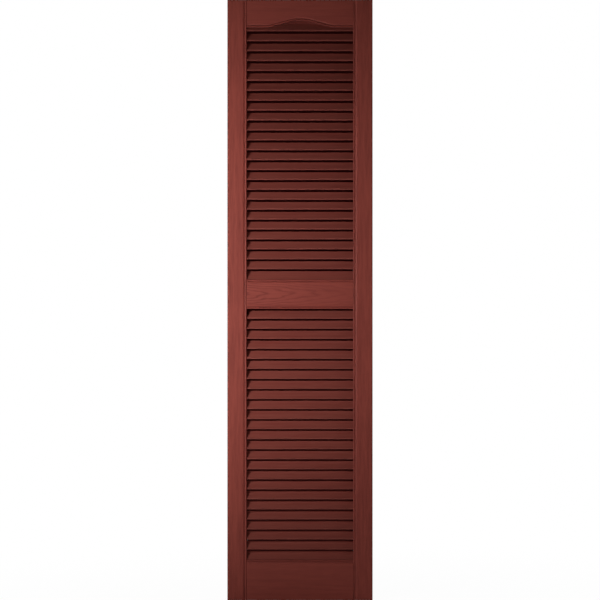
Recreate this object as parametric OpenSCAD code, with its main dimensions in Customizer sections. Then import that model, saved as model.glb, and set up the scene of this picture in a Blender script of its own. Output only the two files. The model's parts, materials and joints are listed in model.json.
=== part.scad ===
// Exterior louvred shutter panel, moulded in one piece: two stiles, an arched top rail,
// a middle rail, a bottom rail and two banks of fixed slanted louvres with open slots.
// The shutter stands as it hangs: width along X, front towards -Y, back rim on the wall
// plane at y = 0, and its bottom edge at z = 0. The origin is the middle of the bottom
// edge on the wall plane.

/* [Panel] */
// Width of the shutter
panel_w = 368.3; // [300:0.1:450]
// Height of the shutter
panel_h = 1524; // [1200:1:1900]
// Depth from the wall plane to the front faces
panel_d = 25.4; // [24:0.1:32]
// Thickness of the moulded walls
wall = 2.4; // [2:0.1:3]
// Radius along the outer front edges of the stiles
outer_r = 2.5; // [1:0.1:4]
// Height of the bevel across the top and bottom ends
bevel_h = 3.8; // [1:0.1:6]
// Depth of the bevel across the top and bottom ends
bevel_d = 1.6; // [0.5:0.1:1.8]

/* [Stiles and rails] */
// Width of each stile, moulded edge included
stile_w = 48.95; // [40:0.05:65]
// Height of the top rail beside the arch
top_rail_h = 71.1; // [60:0.1:100]
// Height of the middle rail
mid_rail_h = 75.4; // [45:0.1:120]
// Height of the middle rail's lower edge above the bottom of the shutter
mid_rail_z = 739.4; // [500:0.1:850]
// Height of the bottom rail
bottom_rail_h = 102.9; // [60:0.1:150]

/* [Arch] */
// Width of the arch between its two shoulders
arch_w = 178; // [120:1:220]
// Rise of the arch above the shoulders
arch_rise = 17.2; // [8:0.1:30]
// Radius at the crown of the arch
crown_r = 122; // [80:1:200]
// Radius where the arch runs out into each shoulder
shoulder_r = 64; // [40:1:100]

/* [Moulded edge] */
// Width of the round bead along every opening
bead_w = 4.4; // [3:0.1:5]
// How far the crest of the bead lies behind the front face
bead_drop = 0.2; // [0:0.1:0.8]
// Width of the floor of the groove beside the bead
groove_w = 1.6; // [1:0.1:3]
// Width of the sloping side of the groove
groove_slope_w = 3.4; // [2:0.1:5]
// Depth of the groove beside the bead
groove_depth = 1.4; // [0.8:0.1:1.6]

/* [Louvres] */
// Distance wanted from one louvre to the next
louvre_pitch = 25.3; // [22:0.1:32]
// Clear height of the slot between two louvres
slot_h = 4.8; // [3:0.1:6]
// Height of the rounded lip along the front of each louvre
lip_h = 3; // [2:0.1:4]
// How far the lips lie behind the front faces
lip_setback = 3; // [2.6:0.1:5]
// How far a louvre runs back from its lip
louvre_run = 16.8; // [14:0.1:17]
// Thickness of a louvre
louvre_t = 2.4; // [2:0.1:3]
// How much of the topmost louvre shows below the shoulders of the arch
head_show = 9.1; // [5:0.1:14]

/* [Ribs] */
// Thickness of the stiffening ribs
rib_t = 1.8; // [1.2:0.1:2.4]
// How far the ribs stay clear of the wall plane
rib_setback = 4; // [2:0.1:10]
// Distance wanted between the cross ribs in a stile
stile_rib_pitch = 152.4; // [60:0.1:200]
// Distance wanted between the upright ribs in a rail
rail_rib_pitch = 68; // [40:1:120]

/* [Hidden] */
$fn = 96;
burgundy = [0.42, 0.16, 0.14];

lap = 1;                  // how far pieces of one wall run into each other
rail_lap = 0.6;           // how far a rail's face runs in beside the bead of a stile
past = 1;                 // how far a cut runs past what it cuts

half_w = panel_w / 2;
half_open = half_w - stile_w;
half_arch = arch_w / 2;
rail_half = half_open + rail_lap;

bead_r = bead_w / 2;
bead_v = panel_d - bead_drop - bead_r;
groove_v = panel_d - groove_depth;
slope_start = bead_w + groove_w;
slope_end = slope_start + groove_slope_w;
edge_w = slope_end + 2 * lap;
edge_back_v = groove_v - wall;
plate_v = panel_d - wall;
inner_front_v = (groove_v + plate_v) / 2;   // hidden inside every front wall, grooves included

bottom_edge_z = bottom_rail_h;
mid_top_z = mid_rail_z + mid_rail_h;
top_edge_z = panel_h - top_rail_h;

// The arch is a crown arc, a straight flank and a shoulder arc on each side, all tangent.
// Its heights are measured from the shoulders. Both radii shrink together where an arch is
// too narrow or too high to hold them and a short flank.
flank_room = 0.98;
most_radii = flank_room * (pow(half_arch, 2) + pow(arch_rise, 2)) / (2 * arch_rise);
radii = min(crown_r + shoulder_r, most_radii);
crown_arc_r = radii * crown_r / (crown_r + shoulder_r);
shoulder_arc_r = radii - crown_arc_r;
centres = sqrt(pow(half_arch, 2) + pow(radii - arch_rise, 2));
flank_angle = atan2(half_arch, radii - arch_rise) - acos(radii / centres);
crown_z = arch_rise - crown_arc_r;
arc_steps = 10;           // straight steps in each quarter of the arch's swept edge
bead_steps = 12;          // straight steps round the bead of that edge

lower_span = mid_rail_z - bottom_edge_z;
lower_count = round(lower_span / louvre_pitch);
upper_span = top_edge_z - head_show - mid_top_z;
upper_count = round(upper_span / louvre_pitch);
lip_v = panel_d - lip_setback;
crease_in = 0.45;         // how far behind its lip a louvre's slope begins
louvre_back_v = lip_v - louvre_run;
louvre_half = half_open + wall / 2;

// Section of a moulded edge: u runs from the opening into the stile or rail, v runs from
// the wall plane to the front. It holds the side wall, the bead and the groove.
module edge_section() {
    polygon([
        [0, 0],
        [wall, 0],
        [wall, edge_back_v],
        [slope_start, edge_back_v],
        [slope_end, plate_v],
        [edge_w, plate_v],
        [edge_w, panel_d],
        [slope_end, panel_d],
        [slope_start, groove_v],
        [bead_r, groove_v],
        [bead_r, bead_v],
        [0, bead_v]
    ]);
    intersection() {
        translate([bead_r, bead_v]) circle(r = bead_r);
        translate([0, bead_v]) square([bead_w, bead_w]);
    }
}

// Section of a stile, from the opening to the outer side
module stile_section() {
    edge_section();
    difference() {
        union() {
            translate([edge_w - lap, plate_v]) square([stile_w - outer_r - edge_w + lap, wall]);
            translate([stile_w - wall - outer_r, 0]) square([wall + outer_r, panel_d - outer_r]);
            translate([stile_w - outer_r, panel_d - outer_r]) circle(r = outer_r);
        }
        translate([edge_w, -past]) square([stile_w - wall - edge_w, plate_v + past]);
    }
}

// Turns a (v, z) section into a bar along X from x0 to x1
module bar_x(x0, x1) {
    translate([x0, 0, 0]) rotate([90, 0, 90]) linear_extrude(height = x1 - x0) mirror([1, 0]) children();
}

// Moves an edge section to a rail's edge at height z, with the rail above it
module rail_above(z) {
    translate([0, z]) mirror([1, 0]) rotate(90) children();
}

// Moves an edge section to a rail's edge at height z, with the rail below it
module rail_below(z) {
    translate([0, z]) mirror([0, 1]) mirror([1, 0]) rotate(90) children();
}

// Stands a drawing in x and z up as a slab from v0 to v1 off the wall plane
module slab(v0, v1) {
    translate([0, -v0, 0]) rotate([90, 0, 0]) linear_extrude(height = v1 - v0) children();
}

// A box from one corner to the other, in x, v and z
module block(a, b) {
    translate([a[0], -b[1], a[2]]) cube([b[0] - a[0], b[1] - a[1], b[2] - a[2]]);
}

// Points [x, z, direction] along the edge of the opening, from left to right
function arch_path() = concat(
    [[-rail_half, 0, 0]],
    [for (i = [0 : arc_steps])
        let (a = flank_angle * i / arc_steps)
        [-half_arch + shoulder_arc_r * sin(a), shoulder_arc_r * (1 - cos(a)), a]],
    [for (i = [0 : 2 * arc_steps])
        let (a = flank_angle * (1 - i / arc_steps))
        [-crown_arc_r * sin(a), crown_z + crown_arc_r * cos(a), a]],
    [for (i = [0 : arc_steps])
        let (a = flank_angle * (i / arc_steps - 1))
        [half_arch + shoulder_arc_r * sin(a), shoulder_arc_r * (1 - cos(a)), a]],
    [[rail_half, 0, 0]]
);

// The opening under the arch, grown by g into the rail, drawn in x and z from the shoulders
module arch_opening(g) {
    polygon(concat(
        [[-rail_half, -panel_h / 2]],
        [for (p = arch_path()) [p[0] - g * sin(p[2]), p[1] + g * cos(p[2])]],
        [[rail_half, -panel_h / 2]]
    ));
}

// The same opening at its height on the shutter, as a cutter from v0 to v1
module arch_cutter(g, v0, v1) {
    translate([0, 0, top_edge_z]) slab(v0, v1) arch_opening(g);
}

// The outline of edge_section() as points, for the sweep round the arch
function edge_points() = concat(
    [
        [0, 0],
        [wall, 0],
        [wall, edge_back_v],
        [slope_start, edge_back_v],
        [slope_end, plate_v],
        [edge_w, plate_v],
        [edge_w, panel_d],
        [slope_end, panel_d],
        [slope_start, groove_v]
    ],
    let (a0 = asin((groove_v - bead_v) / bead_r))
        [for (i = [0 : bead_steps])
            let (a = a0 + (180 - a0) * i / bead_steps)
            [bead_r * (1 + cos(a)), bead_v + bead_r * sin(a)]]
);

// The same outline cut into convex parts, as indices of its n points: the side wall, the
// body under the bead, the bead, the sloping side of the groove and the flat beyond it
function edge_parts(n) = [
    [0, 1, 2, n - 1],
    [2, 3, 8, 9, n - 1],
    [for (j = [9 : n - 1]) j],
    [3, 4, 7, 8],
    [4, 5, 6, 7]
];

// One stile, standing at the right of the opening
module stile() {
    translate([half_open, 0, 0]) linear_extrude(height = panel_h) mirror([0, 1]) stile_section();
    rib_count = round(panel_h / stile_rib_pitch) - 1;
    for (i = [1 : rib_count]) {
        z = i * panel_h / (rib_count + 1) - rib_t / 2;
        block([half_open + wall / 2, rib_setback, z], [half_w - wall / 2, inner_front_v, z + rib_t]);
    }
}

// The moulded edge of the top rail, swept along its shoulders and its arch
module arch_edge() {
    path = arch_path();
    outline = edge_points();
    n = len(outline);
    last = len(path) - 1;
    points = [for (p = path, q = outline) [p[0] - q[0] * sin(p[2]), -q[1], p[1] + q[0] * cos(p[2])]];
    sides = [
        for (i = [0 : last - 1], j = [0 : n - 1])
            let (a = i * n + j, b = i * n + (j + 1) % n)
            each [[a, b + n, b], [a, a + n, b + n]]
    ];
    ends = [
        for (part = edge_parts(n))
            each [part, [for (j = [len(part) - 1 : -1 : 0]) last * n + part[j]]]
    ];
    translate([0, 0, top_edge_z]) polyhedron(points = points, faces = concat(sides, ends), convexity = 4);
}

// Upright ribs inside a rail between two heights
module rail_ribs(z0, z1) {
    rib_count = round(2 * half_open / rail_rib_pitch) - 1;
    for (i = [1 : rib_count]) {
        x = -half_open + i * 2 * half_open / (rib_count + 1) - rib_t / 2;
        block([x, rib_setback, z0], [x + rib_t, inner_front_v, z1]);
    }
}

// Wall across one end of the shutter, its outer face at height z or z + wall
module end_wall(z) {
    block([-half_w + wall / 2, 0, z], [half_w - wall / 2, inner_front_v, z + wall]);
}

module top_rail() {
    arch_edge();
    translate([0, 0, top_edge_z]) slab(plate_v, panel_d)
        difference() {
            translate([-rail_half, 0]) square([2 * rail_half, top_rail_h]);
            arch_opening(edge_w - lap);
        }
    end_wall(panel_h - wall);
    difference() {
        rail_ribs(top_edge_z, panel_h - wall / 2);
        arch_cutter(wall / 2, -past, panel_d);
    }
}

module mid_rail() {
    bar_x(-rail_half, rail_half) {
        rail_above(mid_rail_z) edge_section();
        rail_below(mid_top_z) edge_section();
        translate([plate_v, mid_rail_z + edge_w - lap]) square([wall, mid_rail_h - 2 * (edge_w - lap)]);
    }
    rail_ribs(mid_rail_z + wall / 2, mid_top_z - wall / 2);
}

module bottom_rail() {
    bar_x(-rail_half, rail_half) {
        rail_below(bottom_edge_z) edge_section();
        translate([plate_v, 0]) square([wall, bottom_edge_z - edge_w + lap]);
    }
    end_wall(0);
    rail_ribs(wall / 2, bottom_edge_z - wall / 2);
}

// Section of a louvre from its lip up to its top edge, in v and z, for a bank's own pitch
module louvre_section(pitch) {
    top = pitch - slot_h;
    slope = louvre_run / (top - lip_h);
    across = louvre_t * sqrt(1 + pow(slope, 2));
    lip_r = lip_h / 2;
    heel_v = lip_v - lip_h;
    crease_v = lip_v - crease_in;
    translate([lip_v - lip_r, lip_r]) circle(r = lip_r);
    polygon([
        [heel_v, 0],
        [lip_v - lip_r, 0],
        [crease_v, lip_r],
        [crease_v, lip_h + crease_in / slope],
        [louvre_back_v, top],
        [louvre_back_v - across, top],
        [heel_v, (lip_v - across - heel_v) / slope + lip_h]
    ]);
}

// Section of the lowest louvre of a bank, which runs down into the rail with no lip
module foot_section(pitch) {
    top = pitch - slot_h;
    slope = louvre_run / top;
    across = louvre_t * sqrt(1 + pow(slope, 2));
    down = wall / 2;
    polygon([
        [lip_v + down * slope - across, -down],
        [lip_v + down * slope, -down],
        [louvre_back_v, top],
        [louvre_back_v - across, top]
    ]);
}

// A bank of louvres standing on a rail's edge at height z
module bank(z, pitch, count) {
    bar_x(-louvre_half, louvre_half) translate([0, z]) foot_section(pitch);
    for (i = [1 : count - 1])
        bar_x(-louvre_half, louvre_half) translate([0, z + i * pitch]) louvre_section(pitch);
}

// The topmost louvre, which runs on up behind the arch and closes it
module head_louvre(pitch) {
    z = top_edge_z - head_show;
    top = pitch - slot_h;
    intersection() {
        bar_x(-louvre_half, louvre_half) {
            translate([0, z]) louvre_section(pitch);
            translate([louvre_back_v - louvre_t, z + top - louvre_t])
                square([louvre_t, max(louvre_t, head_show + arch_rise + wall - top + louvre_t)]);
        }
        arch_cutter(wall / 2, 0, panel_d);
    }
}

module end_bevels() {
    for (end = [0, 1])
        translate([0, 0, end * panel_h]) mirror([0, 0, end])
            bar_x(-half_w - past, half_w + past)
                polygon([
                    [panel_d - 2 * bevel_d, -bevel_h],
                    [panel_d + bevel_d, -bevel_h],
                    [panel_d + bevel_d, 2 * bevel_h]
                ]);
}

module shutter_panel() {
    color(burgundy)
        difference() {
            union() {
                stile();
                mirror([1, 0, 0]) stile();
                bottom_rail();
                mid_rail();
                top_rail();
                bank(bottom_edge_z, lower_span / lower_count, lower_count);
                bank(mid_top_z, upper_span / upper_count, upper_count);
                head_louvre(upper_span / upper_count);
            }
            end_bevels();
        }
}

shutter_panel();
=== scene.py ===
"""The looks of a moulded exterior shutter panel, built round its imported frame.

The panel is one moulding. Its stiles, rails, louvres and ribs are shaped as closed shells,
which are fused into one mesh and finished as burgundy plastic with an embossed wood grain.
Sections are drawn in u, the distance from an opening's edge into a stile or rail, and v, the
distance off the wall plane. The front of the shutter faces -Y, so v is -y.
"""

import json
import math
from types import SimpleNamespace

import bmesh
import bpy
from bpy.props import FloatProperty, FloatVectorProperty, IntProperty, PointerProperty
from mathutils import Matrix, Vector

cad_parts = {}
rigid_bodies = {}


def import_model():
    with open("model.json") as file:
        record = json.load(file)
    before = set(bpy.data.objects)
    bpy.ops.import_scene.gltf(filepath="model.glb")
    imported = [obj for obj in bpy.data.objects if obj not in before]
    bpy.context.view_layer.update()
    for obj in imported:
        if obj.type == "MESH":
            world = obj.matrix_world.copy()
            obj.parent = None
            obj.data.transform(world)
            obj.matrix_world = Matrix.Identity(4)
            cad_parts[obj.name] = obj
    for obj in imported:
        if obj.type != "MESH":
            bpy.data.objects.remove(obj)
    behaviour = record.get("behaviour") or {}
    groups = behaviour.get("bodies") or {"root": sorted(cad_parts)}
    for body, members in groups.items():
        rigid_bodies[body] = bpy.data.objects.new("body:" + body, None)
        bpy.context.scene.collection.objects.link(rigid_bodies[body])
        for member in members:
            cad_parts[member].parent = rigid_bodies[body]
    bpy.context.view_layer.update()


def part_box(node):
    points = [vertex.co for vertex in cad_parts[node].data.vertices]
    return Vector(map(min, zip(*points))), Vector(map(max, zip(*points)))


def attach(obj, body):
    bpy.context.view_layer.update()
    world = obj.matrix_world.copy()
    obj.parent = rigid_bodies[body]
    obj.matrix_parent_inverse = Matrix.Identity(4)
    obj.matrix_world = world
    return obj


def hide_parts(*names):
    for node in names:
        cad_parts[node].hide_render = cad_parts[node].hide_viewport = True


bl_info = {
    "name": "Moulded Louvred Shutter",
    "version": (1, 0, 0),
    "blender": (4, 5, 0),
    "location": "3D View > Sidebar > Shutter",
    "description": "Shapes, finishes and stages a moulded exterior shutter panel",
    "category": "Object",
}

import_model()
NODE = "shutter_panel"
PIECE = "moulded_panel"
LOW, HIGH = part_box(NODE)
MM = 0.001

BEAD_STEPS = 12
LIP_STEPS = 10
CORNER_STEPS = 8
ARC_STEPS = 12
SHARP_EDGE = math.radians(50)
SMOOTH_EDGE = math.radians(20)
WELD = 0.002 * MM
SHELLS = "shells"
CUTTERS = "cutters"

# How much longer the grain is than it is wide, and its tone between its darks and lights
GRAIN_DRAWN = 0.06
GRAIN_TONE = 0.68

# How much of a face's normal lies along an axis, for a face that looks more or less that way
FACES_FRONT = 0.25
LEANS = 0.3
HANGS_OVER = 0.35
IS_SQUARE = 0.9
# How near a face lies to a plane that it belongs to
NEAR_FLOOR = 0.1 * MM
NEAR_WALL = 0.2 * MM
NEAR_CREST = 0.3 * MM

# Places from the shutter's middle and sizes of the broad lights
FILL_PLACE, FILL_SIZE = Vector((-1.8, -2.6, 0.14)), 0.8
BACK_PLACE, BACK_SIZE = Vector((-1.2, 2.0, 0.2)), 1.2
SIDE_PLACE, SIDE_SIZE = Vector((2.2, 0.8, 1.7)), 1.0
# The card of painted shade behind the slots, behind the wall plane and inside the shutter's outline
CARD_BEHIND = 0.002
CARD_INSET = 0.012
CARD_SHADE_COLOUR = (0.008, 0.001, 0.001, 1)
# The floor: where it begins to fade, and the share of its radius at which it has faded
FADE_START = 0.15
FADE_END = 0.85
FADE = 0.04


def number(name, description, default, **more):
    """A number that a user may change."""
    return FloatProperty(name=name, description=description, default=default, **more)


def length(name, description, default):
    """A size in metres that a user may change."""
    return number(name, description, default, min=0.0, unit="LENGTH", subtype="DISTANCE", precision=5)


def offset_by(name, description, default):
    """A distance in metres to either side that a user may change."""
    return number(name, description, default, unit="LENGTH", subtype="DISTANCE")


def angle(name, description, default):
    """An angle in radians that a user may change."""
    return number(name, description, default, unit="ROTATION")


def share(name, description, default):
    """A number from 0 to 1 that a user may change."""
    return number(name, description, default, min=0.0, max=1.0, subtype="FACTOR")


def strength(name, description, default):
    """A light's power or strength that a user may change."""
    return number(name, description, default, min=0.0)


def colour(name, description, default):
    """A linear colour that a user may change."""
    return FloatVectorProperty(
        name=name, description=description, default=default, size=3, min=0.0, max=1.0, subtype="COLOR"
    )


class ShutterSizes(bpy.types.PropertyGroup):
    """Sizes of the moulding"""

    width: length("Width", "Overall width", HIGH.x - LOW.x)
    height: length("Height", "Overall height", HIGH.z - LOW.z)
    depth: length("Depth", "From the wall plane to the front faces", HIGH.y - LOW.y)
    wall: length("Wall", "Thickness of the moulded walls", 2.4 * MM)
    outer_radius: length("Outer radius", "Radius along the outer front edges of the stiles", 2.5 * MM)
    end_bevel_height: length("End bevel height", "Height of the bevel across both ends", 3.8 * MM)
    end_bevel_depth: length("End bevel depth", "Depth of the bevel across both ends", 1.6 * MM)
    arris: length("Arris", "Softening of the sharp moulded edges", 0.3 * MM)

    stile_width: length("Stile width", "Width of each stile", 48.95 * MM)
    top_rail: length("Top rail", "Height of the top rail beside the arch", 71.1 * MM)
    middle_rail: length("Middle rail", "Height of the middle rail", 75.4 * MM)
    middle_rail_z: length("Middle rail place", "Height of the middle rail's lower edge", 739.4 * MM)
    bottom_rail: length("Bottom rail", "Height of the bottom rail", 102.9 * MM)

    arch_width: length("Arch width", "Width of the arch between its shoulders", 178 * MM)
    arch_rise: length("Arch rise", "Rise of the arch above its shoulders", 17.2 * MM)
    crown_radius: length("Arch top radius", "Radius at the top of the arch", 122 * MM)
    shoulder_radius: length("Shoulder radius", "Radius where the arch runs out", 64 * MM)

    bead_width: length("Bead width", "Width of the round bead along every opening", 4.4 * MM)
    bead_drop: length("Bead drop", "How far the bead's crest lies behind the face", 0.2 * MM)
    groove_width: length("Groove width", "Width of the groove's floor", 1.6 * MM)
    groove_slope: length("Groove slope", "Width of the groove's sloping side", 3.4 * MM)
    groove_depth: length("Groove depth", "Depth of the groove beside the bead", 1.4 * MM)

    rail_lap: length("Rail lap", "How far the rails run into the stiles' beads", 0.1 * MM)
    louvre_pitch: length("Louvre pitch", "Distance wanted between louvres", 25.3 * MM)
    slot_height: length("Slot height", "Clear height between two louvres", 4.8 * MM)
    lip_height: length("Lip height", "Height of the rounded lip of a louvre", 3 * MM)
    lip_setback: length("Lip setback", "How far the lips lie behind the faces", 3 * MM)
    louvre_run: length("Louvre run", "How far a louvre runs back from its lip", 16.8 * MM)
    louvre_thickness: length("Louvre thickness", "Thickness of a louvre", 2.4 * MM)
    crease: length("Crease", "How far behind its lip a louvre's slope begins", 0.45 * MM)
    head_show: length("Head louvre", "How much of the topmost louvre shows below the shoulders", 9.1 * MM)

    rib_thickness: length("Rib thickness", "Thickness of the stiffening ribs", 1.8 * MM)
    rib_setback: length("Rib setback", "How far the ribs stay clear of the wall plane", 4 * MM)
    stile_rib_pitch: length("Stile rib pitch", "Distance wanted between ribs in a stile", 152.4 * MM)
    rail_rib_pitch: length("Rail rib pitch", "Distance wanted between ribs in a rail", 68 * MM)


class ShutterFinish(bpy.types.PropertyGroup):
    """Colour and surface of the plastic, and the colours of its painted shade and painted highlight"""

    body: colour("Body colour", "Colour of the plastic", (0.235, 0.046, 0.033))
    # The louvres' colour is darker and less red than the body's: painted shade on the recessed louvres.
    louvre: colour("Louvre colour", "Colour of the plastic on the louvres", (0.192, 0.048, 0.036))
    valley: colour("Valley colour", "Colour down in the embossed grain", (0.150, 0.028, 0.021))
    # Painted shade: the colour put in grooves, under lips, on slot floors, on the openings' side walls and
    # under the arch.
    painted_recess_shade: colour("Recess colour", "Colour in grooves and under lips", (0.115, 0.021, 0.016))
    # A deeper painted shade beside the beads.
    shade: colour("Shade colour", "Colour deep down beside the beads", (0.045, 0.008, 0.006))
    # Painted highlight: a lit colour on the slope of the right stile's groove, which faces the light.
    painted_highlight: colour("Ridge colour", "Colour of the right stile's highlight-painted slope", (0.460, 0.090, 0.067))
    roughness: share("Roughness", "Roughness of the embossed front", 0.58)
    sheen: share("Sheen", "Strength of the reflections", 0.12)
    back_roughness: share("Back roughness", "Roughness of the plain back", 0.48)
    grain_depth: length("Grain depth", "Depth of the embossed grain", 0.22 * MM)
    ring_spacing: length("Ring spacing", "Distance between growth rings in the flame figure", 4.6 * MM)
    trunk_lean: angle("Trunk lean", "Lean of the flame figure's rings through the face", 0.075)
    trunk_aside: offset_by("Trunk aside", "How far to the right the flame figure's trunk stands", -0.30)
    flame_reach: length("Flame reach", "How far the flame figure reaches", 135 * MM)


class ShutterStage(bpy.types.PropertyGroup):
    """Camera, lights and floor"""

    camera_distance: length("Camera distance", "From the camera to the front faces", 6.0)
    overfill: length("Overfill", "How far both ends run past the frame", 1.3 * MM)
    sensor: number("Sensor", "Width of the camera's sensor in millimetres", 36.0, min=1.0)
    key_power: strength("Key power", "Power of the key light's beam", 64.0)
    bulb_power: strength("Bulb power", "Power that the key light sheds all round", 20.0)
    key_size: length("Key size", "Radius of the key light", 0.04)
    key_distance: length("Key distance", "From the wall plane to the key light", 1.2)
    key_aside: offset_by("Key aside", "How far to the right the key light stands", -0.85)
    key_lift: offset_by("Key lift", "Height of the key light over the middle", 0.08)
    key_aim: offset_by("Key aim", "How far to the right the key light points", -0.40)
    key_tilt: offset_by("Key tilt", "How far over its own height the key light points", 0.02)
    key_beam: angle("Key beam", "Opening of the key light's beam", math.radians(70))
    fill_power: strength("Fill power", "Power of the fill light", 18.0)
    back_power: strength("Back power", "Power of the light behind the shutter", 40.0)
    side_power: strength("Side power", "Power of the light at its right side", 42.0)
    ambient: strength("Ambient", "Strength of the light from all round", 0.02)
    floor_radius: length("Floor radius", "Radius of the floor", 1.6)
    floor_segments: IntProperty(
        name="Floor segments", description="Sides of the round floor", default=96, min=12
    )


def worked_out():
    """The driving sizes and the measures that follow from them."""
    s = bpy.context.scene.shutter_sizes
    d = SimpleNamespace()
    d.half_w = s.width / 2
    d.half_open = d.half_w - s.stile_width
    d.rail_half = d.half_open + s.rail_lap
    d.louvre_half = d.half_open + s.wall / 2
    d.bead_r = s.bead_width / 2
    d.bead_v = s.depth - s.bead_drop - d.bead_r
    d.groove_v = s.depth - s.groove_depth
    d.slope_start = s.bead_width + s.groove_width
    d.slope_end = d.slope_start + s.groove_slope
    d.slope_middle = (d.slope_start + d.slope_end) / 2
    d.edge_w = d.slope_end + s.wall
    d.edge_back_v = d.groove_v - s.wall
    d.plate_v = s.depth - s.wall
    d.inner_front_v = (d.groove_v + d.plate_v) / 2
    d.bottom_edge_z = s.bottom_rail
    d.middle_top_z = s.middle_rail_z + s.middle_rail
    d.top_edge_z = s.height - s.top_rail

    d.half_arch = s.arch_width / 2
    radii = s.crown_radius + s.shoulder_radius
    centres = math.hypot(d.half_arch, radii - s.arch_rise)
    d.flank_angle = math.atan2(d.half_arch, radii - s.arch_rise) - math.acos(radii / centres)
    d.crown_z = s.arch_rise - s.crown_radius
    d.shoulder_run = s.shoulder_radius * math.sin(d.flank_angle)
    d.crown_run = s.crown_radius * math.sin(d.flank_angle)
    d.flank = (d.half_arch - d.shoulder_run - d.crown_run) / math.cos(d.flank_angle)

    lower_span = s.middle_rail_z - d.bottom_edge_z
    upper_span = d.top_edge_z - s.head_show - d.middle_top_z
    d.lower_count = round(lower_span / s.louvre_pitch)
    d.upper_count = round(upper_span / s.louvre_pitch)
    d.lower_pitch = lower_span / d.lower_count
    d.upper_pitch = upper_span / d.upper_count
    d.lip_v = s.depth - s.lip_setback
    d.louvre_back_v = d.lip_v - s.louvre_run
    return s, d


# Shells


def arc(centre, radius, start, end, steps):
    """Points along an arc, from one angle to another in radians."""
    turns = [start + (end - start) * i / steps for i in range(steps + 1)]
    return [(centre[0] + radius * math.cos(t), centre[1] + radius * math.sin(t)) for t in turns]


def group(name):
    """The collection of that name, made if need be."""
    found = bpy.data.collections.get(name)
    if found is None:
        found = bpy.data.collections.new(name)
        bpy.context.scene.collection.children.link(found)
    return found


def keep(bm, name, where=SHELLS):
    """Ends a bmesh as a closed object with its faces outwards."""
    if any(not edge.is_manifold for edge in bm.edges):
        raise RuntimeError(f"{name} isn't closed")
    bmesh.ops.recalc_face_normals(bm, faces=bm.faces)
    mesh = bpy.data.meshes.new(name)
    bm.to_mesh(mesh)
    bm.free()
    made = bpy.data.objects.new(name, mesh)
    group(where).objects.link(made)
    return made


def only(kind, geometry):
    """The verts, edges or faces among mixed geometry."""
    return [g for g in geometry if isinstance(g, kind)]


def section(bm, points, place):
    """A flat face whose corners are a section's points, put in space by place."""
    return bm.faces.new([bm.verts.new(place(u, v)) for u, v in points])


def whole(faces):
    """Faces with their edges and verts, which the operators need to leave no wall inside."""
    geometry = set(faces)
    for face in faces:
        geometry.update(face.edges, face.verts)
    return list(geometry)


def extrude(bm, faces, offset):
    """Extrudes faces by an offset and returns the faces at the far end."""
    made = bmesh.ops.extrude_face_region(bm, geom=whole(faces))["geom"]
    bmesh.ops.translate(bm, verts=only(bmesh.types.BMVert, made), vec=offset)
    return only(bmesh.types.BMFace, made)


def spin(bm, faces, centre, turn, steps):
    """Sweeps faces round an upright arc's centre and returns the faces at the far end."""
    axis = (0, -math.copysign(1, turn), 0)
    made = bmesh.ops.spin(bm, geom=whole(faces), cent=centre, axis=axis, angle=abs(turn), steps=steps)
    return only(bmesh.types.BMFace, made["geom_last"])


def soften(bm, width):
    """Rounds the sharp edges of a shell slightly."""
    sharp = [e for e in bm.edges if e.is_manifold and e.calc_face_angle() > SHARP_EDGE]
    bmesh.ops.bevel(
        bm,
        geom=sharp,
        offset=width,
        offset_type="OFFSET",
        segments=2,
        profile=0.5,
        affect="EDGES",
        clamp_overlap=True,
        material=-1,
    )


def block(name, low, high, arris):
    """A softened box between two corners, in x, v and z."""
    bm = bmesh.new()
    low, high = Vector((low[0], -high[1], low[2])), Vector((high[0], -low[1], high[2]))
    place = Matrix.Translation((low + high) / 2) @ Matrix.Diagonal((*(high - low), 1))
    bmesh.ops.create_cube(bm, size=1.0, matrix=place)
    soften(bm, arris)
    return keep(bm, name)


def bar(name, outline, x0, x1, arris):
    """A bar along X from an outline in v and z."""
    bm = bmesh.new()
    end = section(bm, outline, lambda v, z: (x0, -v, z))
    extrude(bm, [end], (x1 - x0, 0, 0))
    soften(bm, arris)
    return keep(bm, name)


def edge_front(s, d):
    """Front of a moulded edge, from the opening over the bead and groove to the flat face."""
    foot = math.asin((d.groove_v - d.bead_v) / d.bead_r)
    bead = arc((d.bead_r, d.bead_v), d.bead_r, math.pi, foot, BEAD_STEPS)
    middle = (d.slope_middle, (d.groove_v + s.depth) / 2)
    return [(0, 0), *bead, (d.slope_start, d.groove_v), middle, (d.slope_end, s.depth)]


def edge_back(s, d):
    """Back of a moulded edge, from behind the flat face to the rim."""
    return [(d.slope_end, d.plate_v), (d.slope_start, d.edge_back_v), (s.wall, d.edge_back_v), (s.wall, 0)]


def sweep_arch(bm, face, s, d):
    """Sweeps a face along the shoulders and the arch, from the left stile to the right one."""
    turn = d.flank_angle
    shoulder_z = d.top_edge_z + s.shoulder_radius
    level = (d.rail_half - d.half_arch, 0, 0)
    up = (d.flank * math.cos(turn), 0, d.flank * math.sin(turn))
    down = (up[0], 0, -up[2])
    faces = extrude(bm, [face], level)
    faces = spin(bm, faces, (-d.half_arch, 0, shoulder_z), turn, ARC_STEPS)
    faces = extrude(bm, faces, up)
    faces = spin(bm, faces, (0, 0, d.top_edge_z + d.crown_z), -2 * turn, 2 * ARC_STEPS)
    faces = extrude(bm, faces, down)
    faces = spin(bm, faces, (d.half_arch, 0, shoulder_z), turn, ARC_STEPS)
    extrude(bm, faces, level)


def arch_height(x, s, d):
    """Height of the arch above its shoulders at a distance from the middle."""
    inward = d.half_arch - abs(x)
    if inward <= 0:
        return 0.0
    if inward < d.shoulder_run:
        return s.shoulder_radius - math.sqrt(s.shoulder_radius**2 - inward**2)
    if abs(x) < d.crown_run:
        return d.crown_z + math.sqrt(s.crown_radius**2 - x**2)
    start = s.shoulder_radius * (1 - math.cos(d.flank_angle))
    return start + (inward - d.shoulder_run) * math.tan(d.flank_angle)


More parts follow.
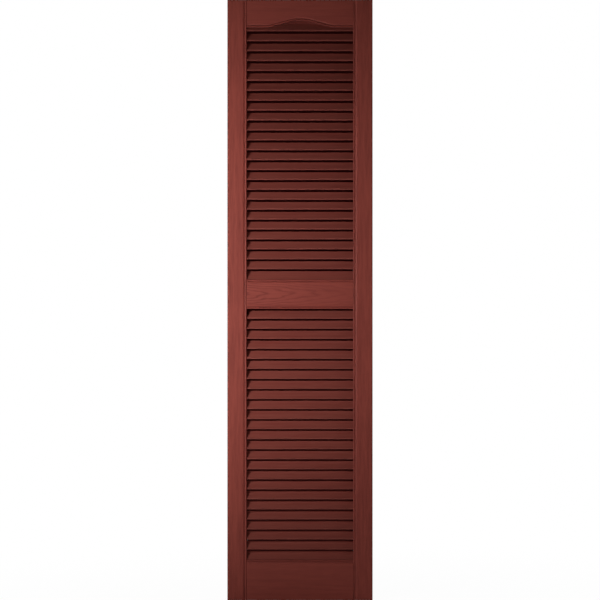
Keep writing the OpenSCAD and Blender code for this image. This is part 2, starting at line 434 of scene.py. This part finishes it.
def louvre_outline(s, d, pitch, z, kind="plain"):
    """Outline of a louvre in v and z. A foot has no lip, and a head runs on up as a wall."""
    lip = 0 if kind == "foot" else s.lip_height
    top = pitch - s.slot_height
    slope = s.louvre_run / (top - lip)
    across = s.louvre_thickness * math.hypot(1, slope)
    if kind == "foot":
        down = s.wall / 2
        front = [(d.lip_v + down * slope - across, -down), (d.lip_v + down * slope, -down)]
    else:
        r = lip / 2
        heel_v = d.lip_v - lip
        round_end = math.acos((r - s.crease) / r)
        front = [(heel_v, (d.lip_v - across - heel_v) / slope + lip), (heel_v, 0)]
        front += arc((d.lip_v - r, r), r, -math.pi / 2, round_end, LIP_STEPS)
        front += [(d.lip_v - s.crease, lip + s.crease / slope)]
    back = [(d.louvre_back_v, top), (d.louvre_back_v - across, top)]
    if kind == "head":
        wall_top = s.head_show + s.arch_rise + s.wall
        behind_v = d.louvre_back_v - s.louvre_thickness
        back = [
            (d.louvre_back_v, top),
            (d.louvre_back_v, wall_top),
            (behind_v, wall_top),
            (behind_v, top - (across - s.louvre_thickness) / slope),
        ]
    return [(v, z + h) for v, h in front + back]


# Materials


class Value:
    """A number in a node tree that Python's own operators work on."""

    def __init__(self, tree, socket):
        self.tree = tree
        self.socket = socket

    def maths(self, operation, first, second):
        return self.tree.add("ShaderNodeMath", {"operation": operation}, {0: first, 1: second})

    def __add__(self, other):
        return self.maths("ADD", self, other)

    __radd__ = __add__

    def __sub__(self, other):
        return self.maths("SUBTRACT", self, other)

    def __rsub__(self, other):
        return self.maths("SUBTRACT", other, self)

    def __mul__(self, other):
        return self.maths("MULTIPLY", self, other)

    __rmul__ = __mul__

    def __pow__(self, other):
        return self.maths("POWER", self, other)

    def clamped(self):
        """The value held between 0 and 1."""
        return self.maths("MINIMUM", self.maths("MAXIMUM", self, 0.0), 1.0)


class NodeTree:
    """A material's or world's node tree, filled through one method."""

    def __init__(self, owner):
        owner.use_nodes = True
        self.tree = owner.node_tree
        self.tree.nodes.clear()

    def add(self, kind, settings=None, inputs=None, output=0):
        """Adds a node, sets it, then fills its sockets with values or links."""
        node = self.tree.nodes.new(kind)
        for name, value in (settings or {}).items():
            setattr(node, name, value)
        for key, value in (inputs or {}).items():
            if isinstance(value, Value):
                self.tree.links.new(value.socket, node.inputs[key])
            else:
                node.inputs[key].default_value = value
        return Value(self, node.outputs[output]) if node.outputs else None

    def noise(self, vector, scale, detail=2.0, roughness=0.5, distortion=0.0):
        """Noise from 0 to 1 at a scale in features to the metre."""
        inputs = {
            "Vector": vector,
            "Scale": scale,
            "Detail": detail,
            "Roughness": roughness,
            "Distortion": distortion,
        }
        return self.add("ShaderNodeTexNoise", {"noise_dimensions": "3D"}, inputs)

    def mapped(self, vector, location=(0, 0, 0), rotation=(0, 0, 0), scale=(1, 1, 1)):
        """A vector moved, turned and stretched."""
        inputs = {"Vector": vector, "Location": location, "Rotation": rotation, "Scale": scale}
        return self.add("ShaderNodeMapping", {"vector_type": "POINT"}, inputs)

    def mix(self, factor, first, second):
        """A colour between two, by a factor."""
        return self.add("ShaderNodeMix", {"data_type": "RGBA"}, {0: factor, 6: first, 7: second}, output=2)


def rgba(linear):
    """A colour property with its alpha."""
    return (*linear, 1.0)


def embossed(name, along, body, contrast, trunk=None):
    """Burgundy plastic with an embossed grain drawn out along X or Z.

    contrast is how far the grain's darks and lights lie apart. trunk adds a flame figure: growth rings
    circle a line through that point, which runs along X and leans through the face, so that the
    rings show as long arches that point to the right.
    """
    finish = bpy.context.scene.shutter_finish
    material = bpy.data.materials.new(name)
    tree = NodeTree(material)
    position = tree.add("ShaderNodeTexCoord", output="Object")
    drawn = (GRAIN_DRAWN, 1.0, 1.0) if along == "X" else (1.0, 1.0, GRAIN_DRAWN)
    stretched = tree.mapped(position, scale=drawn)

    fibres = tree.noise(stretched, 620.0, detail=3.0, roughness=0.6)
    streaks = tree.noise(stretched, 150.0, detail=3.0, roughness=0.55, distortion=0.4)
    patches = tree.noise(stretched, 26.0, detail=2.0)
    height = fibres * 0.3 + streaks * 0.7
    grain = (streaks - 0.5) * 1.2 + (fibres - 0.5) * 0.9 + (patches - 0.5) * 0.6
    tone = grain * contrast + GRAIN_TONE
    if trunk:
        lines = flame(tree, position, trunk)
        height = height - lines * 0.8
        tone = tone - lines * 1.35
    paint = tree.mix(tone.clamped(), rgba(finish.valley), rgba(body))
    roughness = (streaks - 0.5) * -0.16 + finish.roughness
    relief = {"Strength": 1.0, "Distance": finish.grain_depth, "Height": height}
    bump = tree.add("ShaderNodeBump", inputs=relief)
    finish_off(tree, paint, roughness, bump)
    return material


def flame(tree, position, trunk):
    """The valleys of growth rings round a leaning trunk, which die out away from it."""
    finish = bpy.context.scene.shutter_finish
    moved = tree.mapped(position, location=tuple(-c for c in trunk))
    leaned = tree.mapped(moved, rotation=(0.0, 0.0, finish.trunk_lean))
    period_at_unit_scale = 2 * math.pi / 20
    settings = {"wave_type": "RINGS", "rings_direction": "X", "wave_profile": "SIN"}
    inputs = {
        "Vector": tree.mapped(leaned, scale=(0.16, 1.0, 1.0)),
        "Scale": period_at_unit_scale / finish.ring_spacing,
        "Distortion": 5.0,
        "Detail": 2.0,
        "Detail Scale": 1.6,
        "Detail Roughness": 0.5,
    }
    rings = tree.add("ShaderNodeTexWave", settings, inputs, output=1)
    oval = tree.mapped(moved, scale=(0.28, 1.0, 1.0))
    away = tree.add("ShaderNodeVectorMath", {"operation": "LENGTH"}, {0: oval}, output=1)
    near = (1.0 - away * (1.0 / finish.flame_reach)).clamped()
    return rings**4.0 * near


def plain_moulded(name, dark, light):
    """The same plastic with no grain, in a tone that drifts between two colours."""
    finish = bpy.context.scene.shutter_finish
    material = bpy.data.materials.new(name)
    tree = NodeTree(material)
    position = tree.add("ShaderNodeTexCoord", output="Object")
    flow = tree.noise(position, 22.0, detail=3.0, distortion=0.6)
    haze = tree.noise(position, 900.0, detail=2.0)
    paint = tree.mix(flow, rgba(dark), rgba(light))
    roughness = (flow - 0.5) * 0.18 + finish.back_roughness
    bump = tree.add("ShaderNodeBump", inputs={"Strength": 0.3, "Distance": 0.05 * MM, "Height": haze})
    finish_off(tree, paint, roughness, bump)
    return material


def finish_off(tree, paint, roughness, bump):
    """Puts colour, roughness and bump into the plastic's shader."""
    sheen = bpy.context.scene.shutter_finish.sheen
    inputs = {
        "Base Color": paint,
        "Roughness": roughness,
        "Normal": bump,
        "IOR": 1.48,
        "Specular IOR Level": sheen,
    }
    shader = tree.add("ShaderNodeBsdfPrincipled", inputs=inputs)
    tree.add("ShaderNodeOutputMaterial", inputs={"Surface": shader})


# Operators


class SHUTTER_OT_stiles(bpy.types.Operator):
    """Shapes both stiles with their beads, grooves and cross ribs"""

    bl_idname = "shutter.stiles"
    bl_label = "Shape Stiles"

    def execute(self, context):
        s, d = worked_out()
        r = s.outer_radius
        corner = arc((s.stile_width - r, s.depth - r), r, math.pi / 2, 0, CORNER_STEPS)
        inside = s.stile_width - s.wall
        outline = [
            *edge_front(s, d),
            *corner,
            (s.stile_width, 0),
            (inside, 0),
            (inside, d.plate_v),
            *edge_back(s, d),
        ]
        ribs = round(s.height / s.stile_rib_pitch) - 1
        for side, hand in ((-1, "left"), (1, "right")):
            bm = bmesh.new()
            end = section(bm, outline, lambda u, v: (side * (d.half_open + u), -v, 0))
            extrude(bm, [end], (0, 0, s.height))
            soften(bm, s.arris)
            keep(bm, f"{hand}_stile")
            x0, x1 = sorted((side * (d.half_open + s.wall / 2), side * (d.half_w - s.wall / 2)))
            for i in range(ribs):
                z = (i + 1) * s.height / (ribs + 1) - s.rib_thickness / 2
                low, high = (x0, s.rib_setback, z), (x1, d.inner_front_v, z + s.rib_thickness)
                block(f"{hand}_stile_rib", low, high, s.arris)
        return {"FINISHED"}


def rail_ribs(name, low_z, high_z, s, d):
    """Upright ribs behind a rail. low_z gives their lower end at a place across the rail."""
    count = round(2 * d.half_open / s.rail_rib_pitch) - 1
    for i in range(count):
        middle = -d.half_open + (i + 1) * 2 * d.half_open / (count + 1)
        half = s.rib_thickness / 2
        low = (middle - half, s.rib_setback, low_z(middle))
        high = (middle + half, d.inner_front_v, high_z)
        block(name, low, high, s.arris)


class SHUTTER_OT_top_rail(bpy.types.Operator):
    """Shapes the top rail with its arched, moulded lower edge"""

    bl_idname = "shutter.top_rail"
    bl_label = "Shape Top Rail"

    def execute(self, context):
        s, d = worked_out()
        bm = bmesh.new()
        outline = [*edge_front(s, d), (d.edge_w, s.depth), (d.edge_w, d.plate_v), *edge_back(s, d)]
        end = section(bm, outline, lambda u, v: (-d.rail_half, -v, d.top_edge_z + u))
        sweep_arch(bm, end, s, d)
        bmesh.ops.recalc_face_normals(bm, faces=bm.faces)
        upper = [f for f in bm.faces if f.normal.z > 0.9 and -f.calc_center_median().y > d.plate_v]
        made = bmesh.ops.extrude_face_region(bm, geom=whole(upper))["geom"]
        level = Matrix.Translation((0, 0, -s.height))
        bmesh.ops.scale(bm, vec=(1, 1, 0), space=level, verts=only(bmesh.types.BMVert, made))
        soften(bm, s.arris)
        keep(bm, "top_rail")
        half = d.half_w - s.wall / 2
        block("top_end", (-half, 0, s.height - s.wall), (half, d.inner_front_v, s.height), s.arris)

        def above_arch(x):
            return d.top_edge_z + arch_height(x, s, d) + s.wall / 2

        rail_ribs("top_rail_rib", above_arch, s.height - s.wall / 2, s, d)
        return {"FINISHED"}


class SHUTTER_OT_middle_rail(bpy.types.Operator):
    """Shapes the middle rail, moulded along both edges"""

    bl_idname = "shutter.middle_rail"
    bl_label = "Shape Middle Rail"

    def execute(self, context):
        s, d = worked_out()
        front, back = edge_front(s, d), edge_back(s, d)
        upper_front = [(s.middle_rail - u, v) for u, v in reversed(front)]
        upper_back = [(s.middle_rail - u, v) for u, v in reversed(back)]
        outline = [(v, s.middle_rail_z + u) for u, v in front + upper_front + upper_back + back]
        bar("middle_rail", outline, -d.rail_half, d.rail_half, s.arris)
        low_z = s.middle_rail_z + s.wall / 2
        rail_ribs("middle_rail_rib", lambda x: low_z, d.middle_top_z - s.wall / 2, s, d)
        return {"FINISHED"}


class SHUTTER_OT_bottom_rail(bpy.types.Operator):
    """Shapes the bottom rail, moulded along its upper edge"""

    bl_idname = "shutter.bottom_rail"
    bl_label = "Shape Bottom Rail"

    def execute(self, context):
        s, d = worked_out()
        height = s.bottom_rail
        flat = [(height, s.depth), (height, 0), (height - s.wall, 0), (height - s.wall, d.plate_v)]
        outline = [(v, height - u) for u, v in [*edge_front(s, d), *flat, *edge_back(s, d)]]
        bar("bottom_rail", outline, -d.rail_half, d.rail_half, s.arris)
        half = d.half_w - s.wall / 2
        block("bottom_end", (-half, 0, 0), (half, d.inner_front_v, s.wall), s.arris)
        rail_ribs("bottom_rail_rib", lambda x: s.wall / 2, height - s.wall / 2, s, d)
        return {"FINISHED"}


class SHUTTER_OT_louvres(bpy.types.Operator):
    """Shapes both banks of louvres and the one that closes the arch"""

    bl_idname = "shutter.louvres"
    bl_label = "Shape Louvres"

    def execute(self, context):
        s, d = worked_out()
        banks = (
            ("lower", d.bottom_edge_z, d.lower_pitch, d.lower_count),
            ("upper", d.middle_top_z, d.upper_pitch, d.upper_count),
        )
        for name, z, pitch, count in banks:
            for i in range(count):
                kind = "plain" if i else "foot"
                outline = louvre_outline(s, d, pitch, z + i * pitch, kind)
                bar(f"{name}_louvre", outline, -d.louvre_half, d.louvre_half, s.arris)
        head_z = d.top_edge_z - s.head_show
        outline = louvre_outline(s, d, d.upper_pitch, head_z, "head")
        head = bar("head_louvre", outline, -d.louvre_half, d.louvre_half, s.arris)
        self.trim(head, s, d)
        return {"FINISHED"}

    def trim(self, head, s, d):
        """Cuts the head louvre off in the wall of the arch."""
        reach = 2 * s.arch_rise
        bm = bmesh.new()
        low, high = s.wall / 2, s.wall / 2 + reach
        outline = [(low, -s.wall), (low, s.depth), (high, s.depth), (high, -s.wall)]
        end = section(bm, outline, lambda u, v: (-d.rail_half - s.wall, -v, d.top_edge_z + u))
        wider = SimpleNamespace(**vars(d))
        wider.rail_half = d.rail_half + s.wall
        sweep_arch(bm, end, s, wider)
        cutter = keep(bm, "arch_cutter", CUTTERS)
        shape(head, "DIFFERENCE", cutter)
        bpy.data.objects.remove(cutter)


def shape(piece, operation, operand):
    """Applies a boolean with an object or a collection to a piece's mesh."""
    modifier = piece.modifiers.new("shape", "BOOLEAN")
    modifier.operation = operation
    modifier.solver = "MANIFOLD"
    if isinstance(operand, bpy.types.Collection):
        modifier.operand_type = "COLLECTION"
        modifier.collection = operand
    else:
        modifier.object = operand
    graph = bpy.context.evaluated_depsgraph_get()
    mesh = bpy.data.meshes.new_from_object(piece.evaluated_get(graph))
    piece.modifiers.clear()
    piece.data = mesh


class SHUTTER_OT_fuse(bpy.types.Operator):
    """Fuses the shells into one moulding and bevels its two ends"""

    bl_idname = "shutter.fuse"
    bl_label = "Fuse Moulding"

    def execute(self, context):
        s, d = worked_out()
        shells = group(SHELLS)
        base = shells.objects["right_stile"]
        shells.objects.unlink(base)
        context.scene.collection.objects.link(base)
        shape(base, "UNION", shells)
        self.make_end_cutters(s, d)
        shape(base, "DIFFERENCE", group(CUTTERS))
        for name in (SHELLS, CUTTERS):
            for leftover in list(group(name).objects):
                bpy.data.objects.remove(leftover)
            bpy.data.collections.remove(group(name))
        base.name = base.data.name = PIECE
        self.smooth(base)
        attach(base, "root")
        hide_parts(NODE)
        return {"FINISHED"}

    def make_end_cutters(self, s, d):
        """Wedges that take the front corners off both ends."""
        run, rise = s.end_bevel_depth, s.end_bevel_height
        for name, z, way in (("lower_bevel", 0, 1), ("upper_bevel", s.height, -1)):
            corners = [(s.depth - 2 * run, -rise), (s.depth + run, -rise), (s.depth + run, 2 * rise)]
            bm = bmesh.new()
            x0 = -d.half_w - s.wall
            end = section(bm, corners, lambda v, h: (x0, -v, z + way * h))
            extrude(bm, [end], (-2 * x0, 0, 0))
            keep(bm, name, CUTTERS)

    def smooth(self, piece):
        """Shades rounds smooth and keeps flat faces flat."""
        bm = bmesh.new()
        bm.from_mesh(piece.data)
        bmesh.ops.remove_doubles(bm, verts=bm.verts, dist=WELD)
        bmesh.ops.dissolve_degenerate(bm, edges=bm.edges, dist=WELD)
        for face in bm.faces:
            face.smooth = True
        for edge in bm.edges:
            edge.smooth = not edge.is_manifold or edge.calc_face_angle() < SMOOTH_EDGE
        bm.to_mesh(piece.data)
        bm.free()
        weighted = piece.modifiers.new("flat faces", "WEIGHTED_NORMAL")
        weighted.weight = 100
        weighted.keep_sharp = True


class SHUTTER_OT_finish(bpy.types.Operator):
    """Gives the moulding its embossed front and plain back, painted shade in its recesses and beside its
    beads, and a painted highlight on the right stile's slope
    """

    bl_idname = "shutter.finish"
    bl_label = "Give Finish"

    def execute(self, context):
        s, d = worked_out()
        finish = context.scene.shutter_finish
        piece = bpy.data.objects[PIECE]
        trunk = (finish.trunk_aside, -s.depth, s.middle_rail_z + s.middle_rail / 2)
        skins = {
            "plain": plain_moulded("plain moulded plastic", finish.valley, finish.body),
            # Painted light: painted shade in recesses, a deeper painted shade beside the beads, and a
            # painted highlight on the right stile's groove slope.
            "painted_recess_shade": plain_moulded("recessed plastic", finish.painted_recess_shade, finish.painted_recess_shade),
            "shade": plain_moulded("shaded plastic", finish.shade, finish.shade),
            "painted_highlight": plain_moulded("burnished plastic", finish.painted_highlight, finish.painted_highlight),
            "stile": embossed("upright wood grain", "Z", finish.body, 1.4),
            "rail": embossed("level wood grain", "X", finish.body, 0.72, trunk),
            # The louvres' grain takes the darker louvre colour, which is painted shade.
            "louvre": embossed("louvre wood grain", "X", finish.louvre, 1.0),
        }
        piece.data.materials.clear()
        for material in skins.values():
            piece.data.materials.append(material)
        order = {name: i for i, name in enumerate(skins)}
        for face in piece.data.polygons:
            face.material_index = order[self.skin_of(face, s, d)]
        return {"FINISHED"}

    def skin_of(self, face, s, d):
        """Which skin a face of the moulding has."""
        x, v, z = face.center.x, -face.center.y, face.center.z
        up, forward = face.normal.z, -face.normal.y
        aside = abs(x) - d.half_open
        inset = max(aside, min(z - s.middle_rail_z, d.middle_top_z - z))
        inset = max(inset, d.bottom_edge_z - z, z - d.top_edge_z - arch_height(x, s, d))
        top_slope_end = d.top_edge_z - s.head_show + d.upper_pitch - s.slot_height
        # Masks for painted shade: the undersides of the lips, and the floors of the grooves on the left
        # stile and the rails only, away from the light on the left.
        under_lip = inset < 0 and up < -HANGS_OVER and d.lip_v - s.lip_height < v < d.lip_v
        groove = abs(v - d.groove_v) < NEAR_FLOOR and (x < 0 or aside < 0)
        # Deeper painted shade goes on the sides of beads that face right, away from the light, and on the
        # narrow foot of beads that face up or hang under the arch.
        on_bead = d.bead_v - NEAR_FLOOR < v < s.depth - NEAR_CREST
        bead_side = 0 < inset < 0.5 * s.bead_width and on_bead
        foot = inset < 0.2 * s.bead_width
        in_shade = face.normal.x > LEANS or foot and (up > LEANS or up < -LEANS and z > d.top_edge_z)
        # The floors of the slots, the side walls of the openings and the wall under the arch get painted
        # shade as well.
        slot_floor = inset < 0 and up > IS_SQUARE
        side_wall = abs(aside) < NEAR_WALL and abs(face.normal.x) > IS_SQUARE
        head_wall = z > top_slope_end and v < s.lip_height + s.lip_setback and inset < s.wall
        if bead_side and in_shade:
            return "shade"
        # On the right stile the inner half of the groove's slope gets painted shade and the outer half,
        # which faces the light, a painted highlight; on the rails the inner half takes the plain skin,
        # darker than the grained front, as a milder painted shade.
        slope = inset > d.slope_start and d.groove_v < v < s.depth and (x > 0 or aside < 0)
        slope_foot = slope and inset < d.slope_middle
        hollow = groove or head_wall or slope_foot and aside > 0
        if forward > FACES_FRONT and hollow or under_lip or slot_floor or side_wall:
            return "painted_recess_shade"
        if slope and aside > d.slope_start and inset < d.slope_end:
            return "painted_highlight"
        if forward < FACES_FRONT or slope_foot:
            return "plain"
        if aside > 0:
            return "stile"
        # Faces set back in the openings take the louvre skin, whose darker colour is painted shade.
        return "louvre" if v < s.depth - s.lip_setback / 2 else "rail"


class SHUTTER_OT_stage(bpy.types.Operator):
    """Sets up the floor, the card of painted shade behind the slots, the lights and the camera"""

    bl_idname = "shutter.stage"
    bl_label = "Set Stage"

    def execute(self, context):
        stage = context.scene.shutter_stage
        context.scene.view_settings.view_transform = "Standard"
        context.scene.view_settings.look = "None"
        self.make_camera(context.scene, stage)
        self.make_world(context.scene, stage)
        self.make_floor(stage)
        self.make_shade_card()
        middle = Vector((0, 0, (LOW.z + HIGH.z) / 2))
        self.make_key(middle, stage)
        area_light("fill", middle + FILL_PLACE, middle, stage.fill_power, FILL_SIZE)
        back = area_light("back", middle + BACK_PLACE, middle, stage.back_power, BACK_SIZE)
        side = area_light("side", middle + SIDE_PLACE, middle, stage.side_power, SIDE_SIZE)
        for holder in (back, side):
            holder.visible_glossy = False
        return {"FINISHED"}

    def make_key(self, middle, stage):
        """A lamp near the shutter on the left, as a soft round beam round a bare bulb."""
        beam = bpy.data.lights.new("key", "SPOT")
        beam.energy = stage.key_power
        beam.spot_size = stage.key_beam
        beam.spot_blend = 1.0
        bulb = bpy.data.lights.new("bulb", "POINT")
        bulb.energy = stage.bulb_power
        level = middle + Vector((0, 0, stage.key_lift))
        place = level + Vector((stage.key_aside, -stage.key_distance, 0))
        for lamp in (beam, bulb):
            lamp.shadow_soft_size = stage.key_size
            hang(lamp, place, level + Vector((stage.key_aim, 0, stage.key_tilt)))

    def make_camera(self, scene, stage):
        """A camera straight in front, at mid-height, that the shutter fills from end to end."""
        camera = bpy.data.cameras.new("camera")
        camera.sensor_width = stage.sensor
        camera.lens = stage.sensor * stage.camera_distance / (HIGH.z - LOW.z - 2 * stage.overfill)
        holder = bpy.data.objects.new("camera", camera)
        holder.location = (0, LOW.y - stage.camera_distance, (LOW.z + HIGH.z) / 2)
        holder.rotation_euler = (math.pi / 2, 0, 0)
        scene.collection.objects.link(holder)
        scene.camera = holder

    def make_world(self, scene, stage):
        """White to the camera, and to all else a little light from all round."""
        world = bpy.data.worlds.new("studio")
        scene.world = world
        tree = NodeTree(world)
        seen = tree.add("ShaderNodeLightPath", output="Is Camera Ray")
        white = tree.add("ShaderNodeBackground", inputs={"Color": (1, 1, 1, 1), "Strength": 1.0})
        soft = tree.add("ShaderNodeBackground", inputs={"Color": (1, 1, 1, 1), "Strength": stage.ambient})
        both = tree.add("ShaderNodeMixShader", inputs={0: seen, 1: soft, 2: white})
        tree.add("ShaderNodeOutputWorld", inputs={"Surface": both})

    def make_floor(self, stage):
        """A round floor, pale to the light and all but white to the camera, more so at its edge."""
        bm = bmesh.new()
        bmesh.ops.create_circle(bm, cap_ends=True, segments=stage.floor_segments, radius=stage.floor_radius)
        mesh = bpy.data.meshes.new("floor")
        bm.to_mesh(mesh)
        bm.free()
        floor = bpy.data.objects.new("floor", mesh)
        bpy.context.scene.collection.objects.link(floor)
        material = bpy.data.materials.new("pale floor")
        mesh.materials.append(material)
        tree = NodeTree(material)
        position = tree.add("ShaderNodeTexCoord", output="Object")
        out = tree.add("ShaderNodeVectorMath", {"operation": "LENGTH"}, {0: position}, output=1)
        fade = ((out - FADE_START) * (1.0 / (stage.floor_radius * FADE_END - FADE_START))).clamped()
        seen = tree.add("ShaderNodeLightPath", output="Is Camera Ray")
        matt = tree.add("ShaderNodeBsdfDiffuse", inputs={"Color": (0.8, 0.8, 0.8, 1)})
        white = tree.add("ShaderNodeEmission", inputs={"Color": (1, 1, 1, 1), "Strength": 1.0})
        whiteness = seen * (fade * FADE + (1 - FADE))
        lift = tree.add("ShaderNodeMixShader", inputs={0: whiteness, 1: matt, 2: white})
        tree.add("ShaderNodeOutputMaterial", inputs={"Surface": lift})

    def make_shade_card(self):
        """A card of painted shade, a faint near-black glow, that the camera sees through the slots from in
        front, and light passes.
        """
        bm = bmesh.new()
        centre = Matrix.Translation((0, CARD_BEHIND, (LOW.z + HIGH.z) / 2))
        across, tall = HIGH.x - LOW.x - 2 * CARD_INSET, HIGH.z - LOW.z - 2 * CARD_INSET
        size = Matrix.Diagonal((across, tall, 1, 1))
        upright = Matrix.Rotation(math.pi / 2, 4, "X")
        bmesh.ops.create_grid(bm, x_segments=1, y_segments=1, size=0.5, matrix=centre @ upright @ size)
        mesh = bpy.data.meshes.new("dark card")
        bm.to_mesh(mesh)
        bm.free()
        card = bpy.data.objects.new("dark_card", mesh)
        bpy.context.scene.collection.objects.link(card)
        material = bpy.data.materials.new("dark card")
        mesh.materials.append(material)
        tree = NodeTree(material)
        seen = tree.add("ShaderNodeLightPath", output="Is Camera Ray")
        behind = tree.add("ShaderNodeNewGeometry", output="Backfacing")
        clear = tree.add("ShaderNodeBsdfTransparent")
        # The near-black glow is painted shade behind the open slots.
        dark = tree.add("ShaderNodeEmission", inputs={"Color": CARD_SHADE_COLOUR, "Strength": 1.0})
        shown = tree.add("ShaderNodeMixShader", inputs={0: seen * (1 - behind), 1: clear, 2: dark})
        tree.add("ShaderNodeOutputMaterial", inputs={"Surface": shown})


def area_light(name, place, aim, power, size):
    """A square soft light."""
    lamp = bpy.data.lights.new(name, "AREA")
    lamp.size = size
    lamp.energy = power
    return hang(lamp, place, aim)


def hang(lamp, place, aim):
    """Puts a lamp in place, turned to what it lights and out of the camera's sight."""
    holder = bpy.data.objects.new(lamp.name, lamp)
    holder.location = place
    holder.rotation_euler = (aim - place).to_track_quat("-Z", "Y").to_euler()
    holder.visible_camera = False
    bpy.context.scene.collection.objects.link(holder)
    return holder


class SHUTTER_PT_panel(bpy.types.Panel):
    """Lists the shutter's sizes, finish, stage and steps"""

    bl_label = "Shutter"
    bl_idname = "SHUTTER_PT_panel"
    bl_space_type = "VIEW_3D"
    bl_region_type = "UI"
    bl_category = "Shutter"

    def draw(self, context):
        scene = context.scene
        for holder in (scene.shutter_sizes, scene.shutter_finish, scene.shutter_stage):
            column = self.layout.column(align=True)
            for name in holder.__annotations__:
                column.prop(holder, name)
        for step in STEPS:
            self.layout.operator(step.bl_idname)


STEPS = (
    SHUTTER_OT_stiles,
    SHUTTER_OT_top_rail,
    SHUTTER_OT_middle_rail,
    SHUTTER_OT_bottom_rail,
    SHUTTER_OT_louvres,
    SHUTTER_OT_fuse,
    SHUTTER_OT_finish,
    SHUTTER_OT_stage,
)
CLASSES = (ShutterSizes, ShutterFinish, ShutterStage, *STEPS, SHUTTER_PT_panel)


def register():
    for item in CLASSES:
        bpy.utils.register_class(item)
    bpy.types.Scene.shutter_sizes = PointerProperty(type=ShutterSizes)
    bpy.types.Scene.shutter_finish = PointerProperty(type=ShutterFinish)
    bpy.types.Scene.shutter_stage = PointerProperty(type=ShutterStage)


def unregister():
    for name in ("shutter_sizes", "shutter_finish", "shutter_stage"):
        delattr(bpy.types.Scene, name)
    for item in reversed(CLASSES):
        bpy.utils.unregister_class(item)


def main():
    """Builds the whole scene."""
    register()
    bpy.ops.shutter.stiles()
    bpy.ops.shutter.top_rail()
    bpy.ops.shutter.middle_rail()
    bpy.ops.shutter.bottom_rail()
    bpy.ops.shutter.louvres()
    bpy.ops.shutter.fuse()
    bpy.ops.shutter.finish()
    bpy.ops.shutter.stage()


if __name__ == "__main__":
    main()
